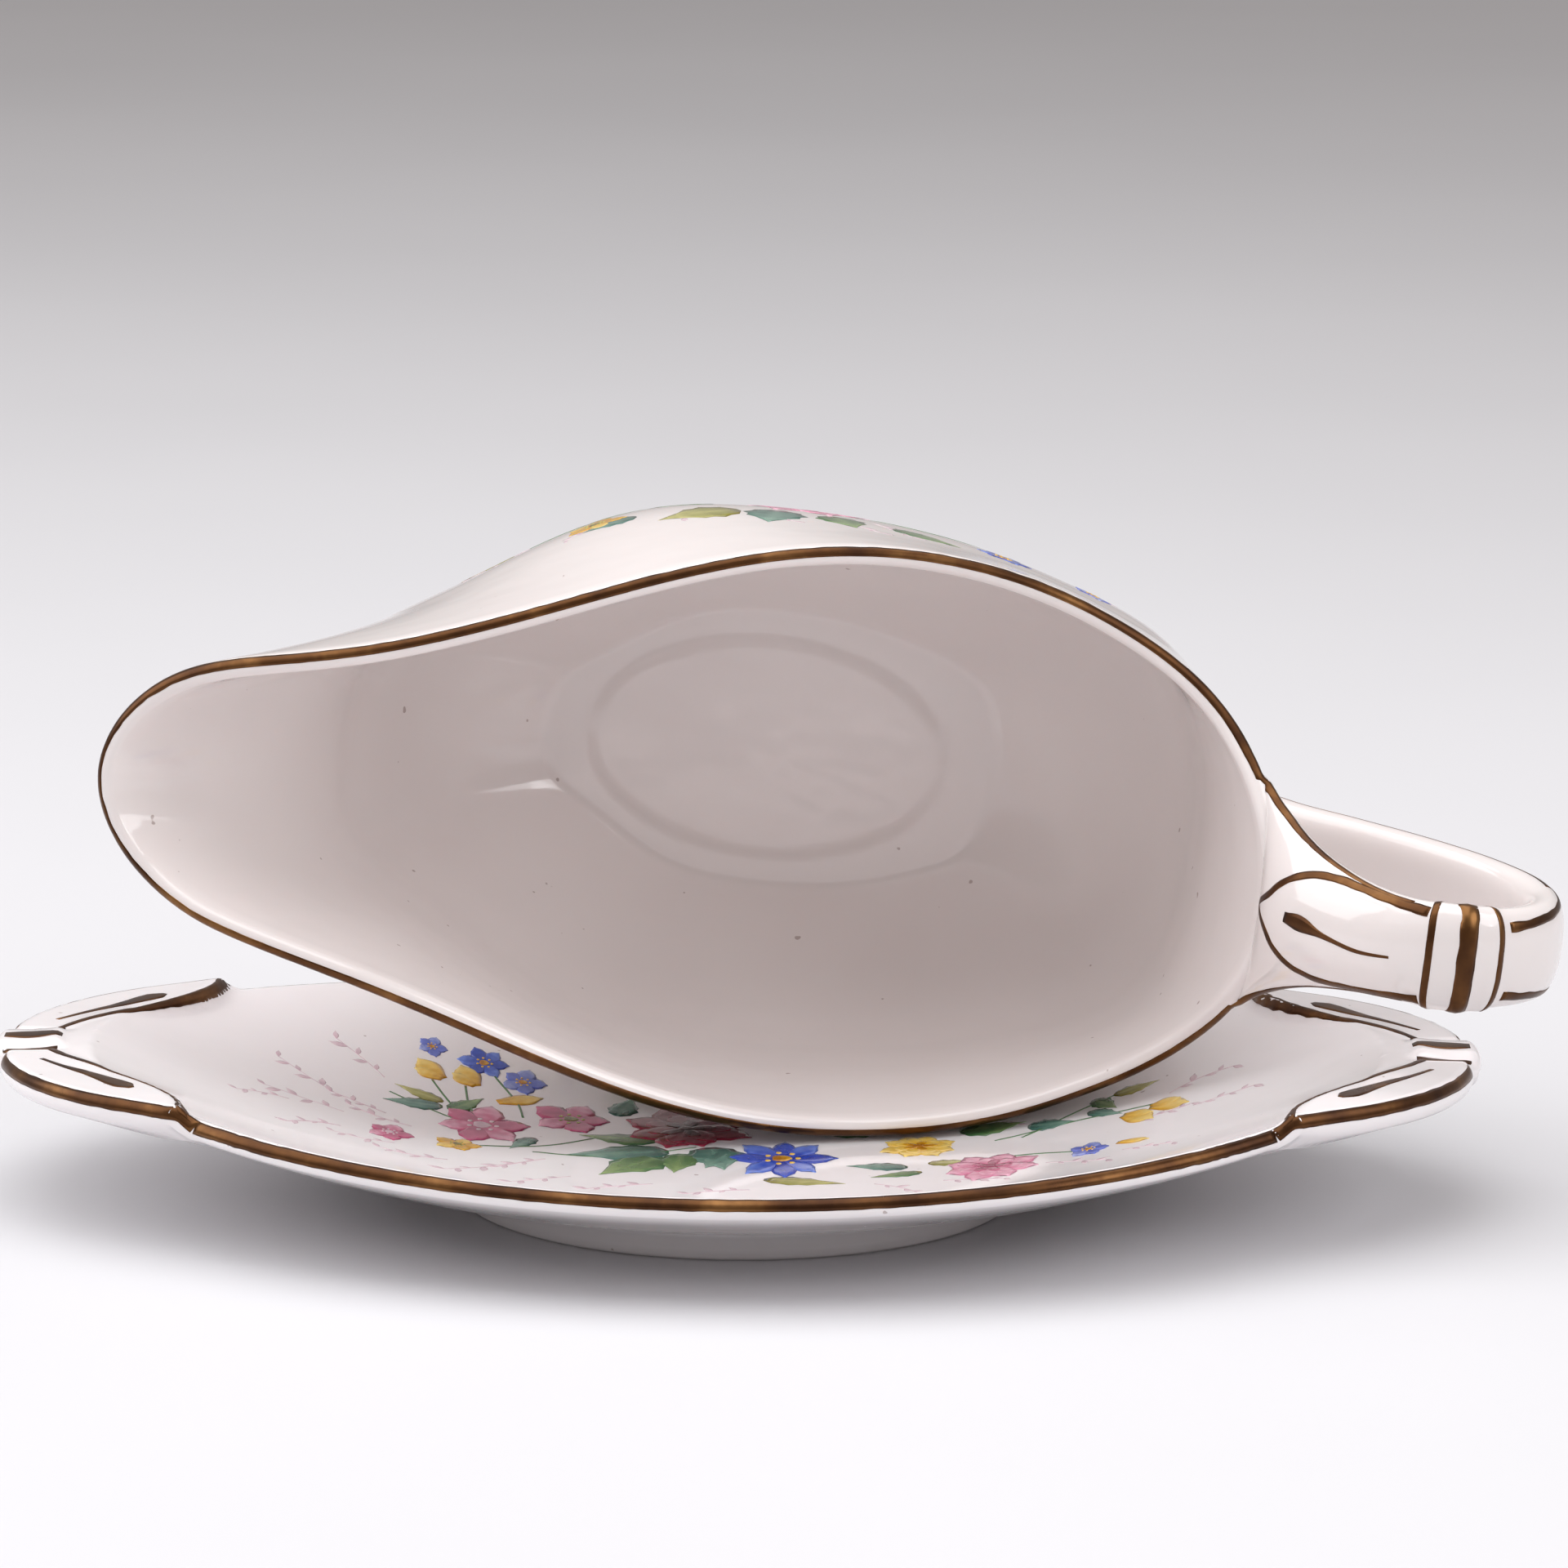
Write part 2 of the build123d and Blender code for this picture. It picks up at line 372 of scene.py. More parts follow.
# The edge of the mouth seen from the side: (distance towards the handle, height above the foot).
RIM = [(-105, 76.5), (-92, 80.5), (-80, 85.3), (-64, 88), (-40, 85.9), (-20, 81.5), (0, 75.8), (20, 70.8),
       (40, 68.5), (54, 67.9), (64, 70), (71, 75.5), (78, 86)]
PER_SPAN = 14


def both_halves(half):
    """A half outline and its mirror image, as one closed run of points."""
    return half + [(x, -w) for x, w in half[-2:0:-1]]


belly = ring_spline(both_halves(BELLY), PER_SPAN)
mouth = ring_spline(both_halves(MOUTH), PER_SPAN)
rim_line = open_spline(RIM, 300)
COLUMNS = len(belly)


def eased(t):
    """A climb that starts level and soon becomes steady."""
    return t - LEAN_EASE * (1 - np.exp(-t / LEAN_EASE))


def bowl_at(height):
    """The bowl's outer skin for an array of heights (rows, columns): points in the boat's frame.

    The turn from the belly into the leaning wall is softened by averaging the heights above and below.
    """
    h = np.asarray(height, float)
    soft = SOFT_TURN * smooth_step(h, *TURN_STARTS) * (1 - smooth_step(h, *TURN_ENDS))
    return 0.5 * plain_bowl_at(h) + 0.25 * (plain_bowl_at(h, soft) + plain_bowl_at(h, -soft))


def plain_bowl_at(at, shift=0.0):
    """The skin before softening, with the outline of a height that is shifted from where it is put."""
    h = at + shift
    rise = np.clip((h - FOOT_HEIGHT) / (BELLY_HEIGHT - FOOT_HEIGHT), 0, 1)
    swell = BASE_SCALE + (1 - BASE_SCALE) * np.sin(pi / 2 * rise ** BELLY_ROUND)
    t = np.maximum((h - BELLY_HEIGHT) / (SPOUT_HEIGHT - BELLY_HEIGHT), 0)
    lean = eased(t) / eased(1.0)
    x = belly[:, 0] * swell + (mouth[:, 0] - belly[:, 0]) * lean
    y = belly[:, 1] * swell + (mouth[:, 1] - belly[:, 1]) * lean
    return np.stack([x, y, at + 0 * x], -1)


def rim_heights():
    """The height of the mouth's edge at each column, where the skin meets the rim's line."""
    h = np.full(COLUMNS, SPOUT_HEIGHT - 5.0)
    for _ in range(SETTLE_ROUNDS):
        x = bowl_at(h[None])[0, :, 0]
        h = 0.5 * h + 0.5 * np.interp(x, rim_line[:, 0], rim_line[:, 1])
    return h


def grid_normals(grid):
    """Outward normals of a grid of rings that climb."""
    around = np.roll(grid, -1, 1) - np.roll(grid, 1, 1)
    up = np.gradient(grid, axis=0)
    n = np.cross(around, up)
    n /= np.linalg.norm(n, axis=-1, keepdims=True) + 1e-12
    centre = grid.mean(axis=1, keepdims=True)
    if ((grid - centre) * n).sum() < 0:
        n = -n
    return n


def disc_rows(ring, scales):
    """Rings that shrink towards the middle of a ring."""
    centre = ring.mean(0)
    return np.array([centre + (ring - centre) * s for s in scales])


def raised_floor(ring):
    """The inner floor: a low raised oval with the slow ripples of thick glaze."""
    floor = disc_rows(ring, np.linspace(0.985, 0.04, FLOOR_ROWS))
    middle = floor[-1].mean(0)
    away = (floor[..., :2] - middle[:2]) / FLOOR_OVAL
    inside = 1 - np.hypot(away[..., 0], away[..., 1])
    floor[..., 2] += FLOOR_RISE * smooth_step(inside, 0, 0.1)
    for row, depth in zip(floor, inside):
        for point, calm in zip(row, smooth_step(depth, 0.0, 0.25)):
            place = Vector((point[0] * 0.085, point[1] * 0.13, 0.7))
            point[2] += calm * (0.25 * noise.noise(place) + 0.06 * noise.noise(place * 3.1))
    return floor


def build_bowl():
    """The bowl, the outward normals along its lip and the line of its edge."""
    climb_share = (np.arange(BOWL_ROWS) / (BOWL_ROWS - 1)) ** ROW_EASE
    lip_starts = rim_heights() - LIP_RADIUS
    outer = bowl_at(FOOT_HEIGHT + (lip_starts[None, :] - FOOT_HEIGHT) * climb_share[:, None])
    normals = grid_normals(outer)
    inner = outer - normals * 2 * LIP_RADIUS
    # the inner skin goes no lower than the inner floor
    inner[..., 2] = np.maximum(inner[..., 2], FOOT_HEIGHT + FLOOR_THICK)
    climb = outer[-1] - outer[-2]
    climb /= np.linalg.norm(climb, axis=-1, keepdims=True)
    middle = (outer[-1] + inner[-1]) / 2
    lip = []
    for k in range(1, LIP_STEPS):
        a = pi * k / LIP_STEPS
        lip.append(middle + normals[-1] * LIP_RADIUS * cos(a) + climb * LIP_RADIUS * sin(a))
    bottom = disc_rows(outer[0], (0.15, 0.4, 0.65, 0.85, 0.96))
    grid = np.concatenate([bottom, outer, np.array(lip), inner[::-1], raised_floor(inner[0])])
    bowl = outward(skin("boat_bowl_china", from_boat(grid), boat_china))
    return bowl, normals[-1], middle + climb * LIP_RADIUS


boat_bowl, lip_normals, bowl_edge = build_bowl()

# ---- foot of the boat
FOOT_BOTTOM = (37.5, 24.5)
# The ring's section: (how far in from the widest oval, height).
FOOT_SECTION = [(4.6, 8.2), (4.7, 6.6), (4.1, 4.6), (2.4, 2.6), (0.6, 1.2), (0.05, 0.7), (0.35, 0.15),
                (1.0, 0.0), (2.6, 0.0), (3.4, 0.2), (4.1, 1.0), (5.0, 3.0), (6.6, 6.2), (8.6, 7.3)]


def oval_band(name, section, half_length, half_width, material, place):
    """A foot: a section that is carried round an oval."""
    turns = np.linspace(0, 2 * pi, 128, endpoint=False)
    rings = [np.stack([(half_length - inset) * np.cos(turns), (half_width - inset) * np.sin(turns),
                       z + 0 * turns], 1) for inset, z in section]
    return outward(loop_of_rings(name, place(np.array(rings)), material))


boat_foot = oval_band("boat_foot_china", FOOT_SECTION, *FOOT_BOTTOM, boat_china, from_boat)

# ---- handle of the boat
# Stations of the handle's outer face: its middle line and the line of its edges, each as (distance
# towards the end, height above the foot), then its half width and its thickness. The first ones are the
# thumb rest, which flares out of the lip of the bowl, and the last ones spread on the back of the bowl.
HANDLE = [((71.9, 72.0), (64.2, 69.0), 24.4, 1.6), ((71.6, 76.0), (67.6, 71.6), 20.8, 2.0),
          ((71.3, 80.4), (70.3, 75.0), 17.6, 2.4), ((71.6, 84.6), (72.8, 78.8), 15.0, 3.0),
          ((73.6, 89.2), (75.6, 83.8), 12.8, 3.8), ((77.0, 93.4), (78.6, 88.6), 11.1, 4.7),
          ((80.6, 96.9), (81.6, 92.8), 10.0, 5.3), ((84.4, 100.0), (85.0, 96.9), 9.1, 5.8),
          ((88.6, 102.6), (88.8, 100.6), 8.5, 6.0), ((93.5, 104.3), (93.4, 103.2), 8.1, 6.0),
          ((98.6, 104.5), (98.5, 103.5), 8.0, 6.0), ((104.0, 102.9), (103.6, 102.0), 7.9, 6.0),
          ((109.2, 99.2), (108.6, 98.5), 7.8, 6.0), ((113.6, 92.8), (112.8, 92.4), 7.8, 6.0),
          ((115.4, 84.2), (114.5, 84.2), 7.8, 6.0), ((113.6, 74.4), (112.8, 74.8), 7.8, 6.0),
          ((107.8, 64.4), (107.1, 64.9), 7.8, 6.0), ((99.2, 55.2), (98.6, 55.8), 7.8, 6.0),
          ((88.4, 47.0), (88.0, 47.7), 7.9, 6.0), ((78.4, 41.4), (78.0, 42.1), 8.4, 6.6),
          ((70.6, 37.6), (70.2, 38.5), 10.2, 8.2), ((63.6, 34.0), (63.2, 35.2), 12.6, 10.0)]
KNOT_X = (94.0, 99.4, 104.6)    # thin, broad and thin bands of the knot
BAND_RISES = (0.35, 0.8, 0.35)
BAND_SPREAD = 1.9               # in stations
KNOT_OUT = np.array([0.25, 0.97])   # towards the end and up
STATIONS = 190
SECTION_POINTS = 48
stations = open_spline([(*c, *e, w, t) for c, e, w, t in HANDLE], STATIONS)
highest = int(np.argmax(stations[:, 0]))


def run_at(x):
    """Which station of the handle's upper half lies at a distance towards the end."""
    first = int(np.argmin(stations[:highest, 0]))
    return float(np.interp(x, stations[first:highest, 0], np.arange(first, highest)))


def run_where(half):
    """Which station of the thumb rest has a given half width."""
    return float(np.interp(-half, -stations[:highest // 2, 4], np.arange(highest // 2)))


KNOT_RUNS = [run_at(x) for x in KNOT_X]


def face_point(run, side):
    """A point of the handle's outer face: side runs -1 to 1 across it."""
    mid_x, mid_h, edge_x, edge_h, half = (np.interp(run, np.arange(STATIONS), stations[:, k])
                                          for k in range(5))
    ridge = sum(rise * exp(-((run - k) / BAND_SPREAD) ** 2) for k, rise in zip(KNOT_RUNS, BAND_RISES))
    enters = min(1.0, max(0.0, (run - KNOT_RUNS[0] + 1) / 2))
    leaves = min(1.0, max(0.0, (KNOT_RUNS[2] + 1 - run) / 2))
    swell = 0.55 * (enters * leaves) + 0.5 * ridge
    lift = KNOT_OUT * swell
    bend = side * side
    x = mid_x + (edge_x - mid_x) * bend + lift[0]
    height = mid_h + (edge_h - mid_h) * bend + lift[1]
    return np.array([x, side * (half + 0.6 * swell), height])


def strap_point(run, side, face):
    """A point of the strap: face runs from 1 on its outer face to -1 on its inner one."""
    along_it = face_point(min(run + 1.5, STATIONS - 1), side) - face_point(max(run - 1.5, 0), side)
    over_it = face_point(run, min(side + 0.06, 1)) - face_point(run, max(side - 0.06, -1))
    normal = np.cross(along_it, over_it)
    normal /= np.linalg.norm(normal)
    thick = np.interp(run, np.arange(STATIONS), stations[:, 5])
    return face_point(run, side) - normal * thick * (1 - face) / 2


def strap_at(x, w):
    """The point on the handle's upper half at a distance towards the end and a distance across."""
    def miss(run):
        return abs(face_point(run, min(1, max(-1, w / stations[int(run), 4])))[0] - x)

    run = min(np.arange(0, KNOT_RUNS[2] + 20, 0.5), key=miss)
    return strap_point(run, w / stations[int(run), 4], 1.0)


# The bowl's outline from its widest part round to the middle of its back.
BACK = slice(5 * PER_SPAN, 8 * PER_SPAN + 1)
ROOT_STATIONS = 26              # how much of each end of the handle may touch the bowl
ROOT_DEPTH = 1.5                # the lower end goes no deeper into the wall
THUMB_DEPTHS = (0.12, 2.75)     # the thumb rest stays between these depths, below the edge


def back_wall(w, height):
    """How far towards the handle the bowl's outer skin reaches, at a distance across and a height."""
    ring = bowl_at(np.array([[float(height)]]))[0, BACK]
    return float(np.interp(abs(w), ring[::-1, 1], ring[::-1, 0]))


def rooted(point, run):
    """Keep a point of the handle's two ends inside the thickness of the bowl's wall."""
    x, w, height = point
    if run > STATIONS - ROOT_STATIONS:
        x = max(x, back_wall(w, height) - ROOT_DEPTH)
    elif run < 2 * ROOT_STATIONS:
        edge = float(np.interp(abs(w), bowl_edge[BACK][::-1, 1], bowl_edge[BACK][::-1, 2]))
        if height < edge - 0.6:
            outer = back_wall(w, height)
            x = min(max(x, outer - THUMB_DEPTHS[1]), outer - THUMB_DEPTHS[0])
    return np.array([x, w, height])


def build_handle():
    """The strap from the thumb rest over the knot and back to the bowl."""
    rings = []
    for run in range(STATIONS):
        ring = []
        for k in range(SECTION_POINTS):
            a = 2 * pi * k / SECTION_POINTS
            side = np.sign(cos(a)) * abs(cos(a)) ** 0.6
            face = np.sign(sin(a)) * abs(sin(a)) ** 0.75
            ring.append(rooted(strap_point(run, side, face), run))
        rings.append(ring)
    # each end is closed straight across its thickness, so that it stays within the curved wall
    faces = grid_faces(STATIONS, SECTION_POINTS)
    for base in (0, (STATIONS - 1) * SECTION_POINTS):
        for k in range(SECTION_POINTS // 2):
            corners = (k, k + 1, SECTION_POINTS - k - 1, (SECTION_POINTS - k) % SECTION_POINTS)
            faces.append(tuple(base + c for c in dict.fromkeys(corners)))
    vertices = from_boat(rings).reshape(-1, 3)
    return outward(mesh_object("boat_handle_china", vertices, faces, boat_china))


boat_handle = build_handle()

# ---- dish of the stand
HALF_LENGTH, HALF_WIDTH = 96.0, 70.0
RIM_LOW, RIM_RISE = 16.2, 6.0
RIM_IN = 1.6                    # the dish's slope ends this far in from the oval
WELL_TOP, WELL_RADIUS = 4.8, 24.0
STAND_WALL = 2.8
LIP_SLOPE = 0.5
LIP_THICK, LUG_LIP_THICK = 3.3, 4.4
EDGE_ROUND = 1.5
LUG_LEVEL = 21.3
LOBE_TOP = 21.9                 # the lobes of the lugs are level
LUG_ROOT, TIE_HALF = 42.4, 5.6  # how far from the long axis the lobes end
TIE_RISE = 1.15
LUG_BLEND = (radians(24), radians(29))
STAND_COLUMNS = 540
# One quarter of the lug's edge, from its root on the rim to its tip.
LUG_EDGE = [(76.5, LUG_ROOT), (79.5, 41.6), (84.5, 38.6), (91.5, 34.0), (98.5, 27.2), (103.8, 19.0),
            (106.6, 10.5), (106.9, 6.4), (107.9, 5.0), (108.6, 2.2), (108.7, 0)]
# The line from which a lobe rises on each quarter of a lug, from the rim to the tie at the tip.
RELIEF = [(76.5, 42.0), (77.6, 35.5), (80.5, 29.5), (85.5, 22.5), (91.5, 15.5), (96.0, 10.0),
          (98.6, TIE_HALF), (107.2, TIE_HALF)]


def plan_point(r, a):
    """A place seen from above, by its distance from the middle and its angle."""
    return r * np.cos(a), r * np.sin(a)


def first_quarter(a):
    """The angle that mirrors a in the quarter between the long axis and the short one."""
    return np.abs(np.arctan2(np.sin(a), np.abs(np.cos(a))))


def oval_radius(a):
    return HALF_LENGTH * HALF_WIDTH / np.hypot(HALF_WIDTH * np.cos(a), HALF_LENGTH * np.sin(a))


lug_edge = open_spline(LUG_EDGE, 160)
lug_angles = np.arctan2(lug_edge[:, 1], lug_edge[:, 0])[::-1]
lug_radii = np.hypot(lug_edge[:, 0], lug_edge[:, 1])[::-1]
relief = open_spline(RELIEF, 160)


def edge_radius(a):
    """Distance from the middle to the edge of the stand, lugs included."""
    return np.maximum(oval_radius(a), np.interp(first_quarter(a), lug_angles, lug_radii, right=0))


def relief_height(x, y, dish):
    """How far the lobes and the tie of a lug stand above the dish, whose height is given."""
    ax, ay = np.abs(x), np.abs(y)
    d = np.sqrt((ax[..., None] - relief[:, 0]) ** 2 + (ay[..., None] - relief[:, 1]) ** 2).min(-1)
    line_x = np.interp(ay, relief[::-1, 1], relief[::-1, 0])
    inside = (ax > line_x) & (ay > TIE_HALF) & (ay < LUG_ROOT)
    lobe = np.maximum(LOBE_TOP - dish, 0.3) * smooth_step(np.where(inside, d, 0), 0, 1.8)
    tie = TIE_RISE * smooth_step(ax, 97.2, 99.8) * (1 - smooth_step(ay, TIE_HALF - 2, TIE_HALF))
    return lobe + tie


def dish_top(x, y):
    """Height of the dish's upper face, without the relief of the lugs."""
    a = np.arctan2(y, x)
    r = np.hypot(x, y)
    out = oval_radius(a)
    rim = RIM_LOW + RIM_RISE * (out * np.cos(a) / HALF_LENGTH) ** 2
    span = out - RIM_IN - WELL_RADIUS
    u = np.clip((r - WELL_RADIUS) / span, 0, 1)
    size = np.hypot(span, rim - WELL_TOP)
    end_slope = LIP_SLOPE / hypot(1, LIP_SLOPE) * size
    z = WELL_TOP + (rim - WELL_TOP) * (3 * u ** 2 - 2 * u ** 3) + end_slope * (u ** 3 - u ** 2)
    beyond = np.maximum(r - (out - RIM_IN), 0)
    return z + (LUG_LEVEL - rim) * smooth_step(beyond, 0, 10)


def stand_top(x, y):
    """Height of the upper face of the stand."""
    dish = dish_top(x, y)
    return dish + relief_height(x, y, dish)


def on_stand(x, y):
    """The point of the stand's upper face at one place."""
    return np.array([x, y, float(stand_top(np.array([x]), np.array([y]))[0])])


def build_stand():
    """Dish and lugs in one skin: the upper face, the rounded lip and the underside."""
    a = np.linspace(0, 2 * pi, STAND_COLUMNS, endpoint=False)
    reach = edge_radius(a)
    on_lug = 1 - smooth_step(first_quarter(a), *LUG_BLEND)
    thick = LIP_THICK + (LUG_LIP_THICK - LIP_THICK) * on_lug
    rows = []
    for f in np.concatenate([np.linspace(0.02, 0.6, 16), np.linspace(0.62, 1, 64)]):
        x, y = plan_point(f * (reach - EDGE_ROUND), a)
        rows.append(np.stack([x, y, stand_top(x, y)], 1))
    out = np.stack([np.cos(a), np.sin(a), 0 * a], 1)
    top = rows[-1][:, 2]
    # the rounded lip, then the underside back to the middle
    for k in range(1, 9):
        t = k / 9 * pi * 0.92
        inset_by = EDGE_ROUND - EDGE_ROUND * sin(t) + (0.9 if t > pi / 2 else 0) * (1 - sin(t))
        rows.append(out * (reach - inset_by)[:, None]
                    + np.stack([0 * a, 0 * a, top - thick * 0.5 * (1 - cos(t))], 1))
    for f in np.concatenate([np.linspace(0.975, 0.6, 30), np.linspace(0.55, 0.02, 12)]):
        x, y = plan_point(f * (reach - EDGE_ROUND), a)
        gap = STAND_WALL + (thick - STAND_WALL) * smooth_step(f, 0.8, 1.0)
        rows.append(np.stack([x, y, dish_top(x, y) - gap], 1))
    return outward(skin("stand_dish_china", np.array(rows), stand_china))


stand_dish = build_stand()

# ---- foot ring of the stand
RING_RADIUS = 41.5
RING_SECTION = [(-0.5, 4.4), (0.35, 3.2), (0.45, 1.6), (0.3, 0.6), (0.75, 0.1), (1.3, 0.0), (2.7, 0.0),
                (3.3, 0.1), (3.8, 0.6), (4.1, 1.6), (4.9, 3.0), (6.0, 4.0)]
stand_ring = oval_band("stand_foot_ring_china", RING_SECTION, RING_RADIUS, RING_RADIUS, stand_china, np.array)

# ---- gilding of the boat
boat_skin = Surface(boat_bowl, boat_handle)
stand_skin = Surface(stand_dish)
GOLD_OUT = 0.85                 # the gold lies on the outer side of the lip
THUMB_HALF = 20.5               # half width of the rim's part that the thumb rest hides


def gild_boat():
    """The rim, from one edge of the thumb rest round the spout to the other."""
    brush = Paint(boat_skin)
    keep = [c for c in range(COLUMNS) if abs(bowl_edge[c, 1]) >= THUMB_HALF or bowl_edge[c, 0] <= 40]
    order = sorted(keep, key=lambda c: (c - COLUMNS // 2) % COLUMNS)
    rim = bowl_edge + lip_normals * GOLD_OUT
    points = [rim[c] for c in order][::3]
    turn = 1 if points[0][1] > 0 else -1
    runs = [run_at(x) for x in (91, 88.5, 85.5, 82, 79, 76, 73.5)] + [run_where(15.0)]
    start = [strap_point(r, turn * 0.985, 0.8) for r in runs]
    finish = [strap_point(r, -turn * 0.985, 0.8) for r in runs[::-1]]
    path = from_boat(start + points + finish)

    def width(t):
        return (0.7 + 1.05 * smooth_step(t, 0.0, 0.12) * (1 - smooth_step(t, 0.9, 1.0))
                + 0.9 * exp(-((t - 0.5) / 0.05) ** 2))

    brush.stroke(path, width, ragged=0.14, seed=1.0)
    return brush.object("boat_rim_gilding", gold)


def gild_handle():
    """Tongue and teardrop on the thumb rest, the knot's bands, and lines along the return."""
    brush = Paint(boat_skin)

    def on_strap(pairs):
        return from_boat([strap_at(x, w) for x, w in pairs])

    tongue = [(71.3, 0), (71.9, 2.4), (73.4, 4.9), (76, 6.9), (79.5, 8.0), (84, 8.1), (89, 7.5), (93.4, 6.9)]
    for side in (1, -1):
        brush.stroke(on_strap([(x, side * w) for x, w in tongue]), lambda t: 0.95 + 0.75 * t,
                     ragged=0.2, seed=2.0 + side)
    # teardrop along the middle of the tongue
    brush.stroke(on_strap([(74.1, 0.5), (77.0, 0.2), (80, -0.5), (84.5, -1.2), (88.8, -0.9)]),
                 lambda t: 0.4 + 0.7 * (1 - t) + 1.5 * exp(-((t - 0.17) / 0.15) ** 2), ragged=0.1, seed=3)
    # three bands of the knot
    for run, broad in zip(KNOT_RUNS, (1.1, 2.9, 1.15)):
        band = [strap_point(run, s, f) for s, f in
                ((0.97, -0.8), (1.0, 0.0), (0.95, 0.85), (0.6, 1.0), (0.2, 1.0), (-0.2, 1.0), (-0.6, 1.0),
                 (-0.95, 0.85), (-1.0, 0.0), (-0.97, -0.8))]
        brush.stroke(from_boat(band), broad, ragged=0.1, seed=run)
    # a thick dash from the knot to each edge, thinning to a hairline along the edges of the return
    for side in (1, -1):
        runs = np.linspace(KNOT_RUNS[2] + 2, highest + 6, 7)
        dash = [strap_point(r, side * (0.66 + 0.3 * k / 6), 1.0) for k, r in enumerate(runs)]
        brush.stroke(from_boat(dash), lambda t: 1.5 - 0.7 * t, ragged=0.25, seed=5 + side)
        runs = np.linspace(highest + 4, STATIONS * 0.9, 14)
        brush.stroke(from_boat([strap_point(r, side * 0.99, 0.5) for r in runs]),
                     lambda t: 0.32 + 0.7 * (1 - t) ** 4, ragged=0.2, seed=8 + side)
    return brush.object("boat_handle_gilding", gold)


# Lines on one quarter of a lug: beside the tie, and the long drop on the lobe.
TIE_LINE = [(98.8, 5.9), (102, 6.0), (105, 5.9), (106.9, 5.7)]
DROP_LINE = [(100.5, 12.5), (97, 17), (92.5, 22), (88.5, 27), (86, 30)]


def gild_stand():
    """The edge of the stand and the lines on its two lugs."""
    brush = Paint(stand_skin)

    def edge_path(first, last, count):
        a = np.linspace(first, last, count)
        x, y = plan_point(edge_radius(a) - 0.15, a)
        return np.stack([x, y, stand_top(x, y) - 0.75], 1)

    def flat_stroke(points, width, ragged, seed):
        """A stroke that is drawn from above."""
        path = np.asarray(points, float)
        count = max(8, int(np.linalg.norm(np.diff(path, axis=0), axis=1).sum() / 0.7))
        line = open_spline(path, count)
        run = np.gradient(line, axis=0)
        side = np.stack([-run[:, 1], run[:, 0]], 1) / np.linalg.norm(run, axis=1)[:, None]
        laid = []
        for i in range(count):
            rough = 1 + ragged * noise.noise(Vector((seed, i * ROUGH_STEP, 0.0)))
            for s in ACROSS:
                x, y = line[i] + side[i] * (0.5 * width(i / (count - 1)) * rough * s)
                laid.append(on_stand(x, y))
        brush.plate(laid, 5, 0.1)

    joint = radians(29.2)
    for turn in (0, pi):
        brush.stroke(edge_path(joint + turn, pi - joint + turn, 70), 2.3, ragged=0.1, seed=11 + turn)
        for side in (1, -1):
            lug = edge_path(turn + side * radians(4.6), turn + side * joint, 26)
            brush.stroke(lug, lambda t: 1.8 + 0.5 * t, ragged=0.12, seed=13 + turn + side)
    for sx in (-1, 1):
        for sy in (-1, 1):
            def plan(points):
                return [(sx * x, sy * y) for x, y in points]

            flat_stroke(plan([(x + 1.2, y + 0.8) for x, y in RELIEF[:-1]]),
                        lambda t: 1.1 + 0.9 * (1 - t) ** 4, 0.2, 17 + sx)
            flat_stroke(plan(TIE_LINE), lambda t: 1.7 - 0.6 * t, 0.15, 18 + sy)
            flat_stroke(plan(DROP_LINE),
                        lambda t: 0.7 + 3.4 * t ** 1.8 * (1 - smooth_step(t, 0.88, 1.02)), 0.1, 19)
        flat_stroke([(sx * x, 0.0) for x in (98.6, 100.5, 103, 105.5, 107.0)],
                    lambda t: 0.6 + 3.6 * sin(pi * min(1.0, 0.12 + 0.7 * t)), 0.08, 23)
    return brush.object("stand_gilding", gold)


boat_rim_gilding = gild_boat()
boat_handle_gilding = gild_handle()
stand_gilding = gild_stand()

# ---- floral print
def tint(red, green, blue):
    """A colour as it looks, turned into the linear one the shader takes."""
    return np.array([(c / 255) ** 2.2 for c in (red, green, blue)] + [1.0])


# Each is (deep, middle, pale).
PINK = (tint(148, 42, 84), tint(208, 98, 138), tint(236, 178, 198))
RED = (tint(52, 6, 16), tint(120, 16, 40), tint(160, 48, 74))
BLUE = (tint(26, 42, 138), tint(58, 88, 198), tint(112, 142, 226))
SKY = (tint(70, 84, 178), tint(112, 128, 212), tint(168, 180, 232))
YELLOW = (tint(176, 112, 22), tint(234, 182, 54), tint(246, 216, 122))
GREEN = (tint(34, 72, 44), tint(78, 118, 72), tint(142, 168, 108))
TEAL = (tint(30, 66, 60), tint(72, 116, 104), tint(132, 168, 150))
OLIVE = (tint(110, 92, 34), tint(150, 150, 70), tint(196, 190, 118))
FAINT = (tint(206, 172, 184), tint(220, 192, 201), tint(232, 212, 218))


PATCH_STEP = 0.0004             # keeps patches that overlap from lying in one plane
PETAL_ROWS, PETAL_COLUMNS = 9, 7


